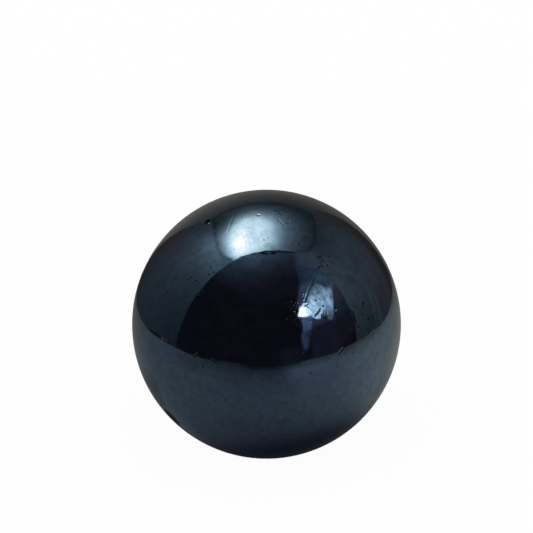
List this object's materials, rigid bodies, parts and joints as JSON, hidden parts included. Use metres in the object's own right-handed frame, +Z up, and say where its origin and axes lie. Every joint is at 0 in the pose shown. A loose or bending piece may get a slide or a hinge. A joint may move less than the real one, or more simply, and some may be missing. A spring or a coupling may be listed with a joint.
{
  "type": "glass marble",
  "caption": "Solid glass ball with a dark steel-blue mirror lustre, for play, decoration or use as a loose rolling ball.",
  "frame": {"origin": "centre of the ball", "axes": "+Z up through the ball's centre, with -Y towards the front; the flake chip is low on the front left and the pit is high on the left"},
  "size_m": [0.042, 0.042, 0.042],
  "materials": {
    "lustre_glass": "gloss"
  },
  "bodies": {
    "root": {"marble": "lustre_glass"}
  },
  "joints": []
}
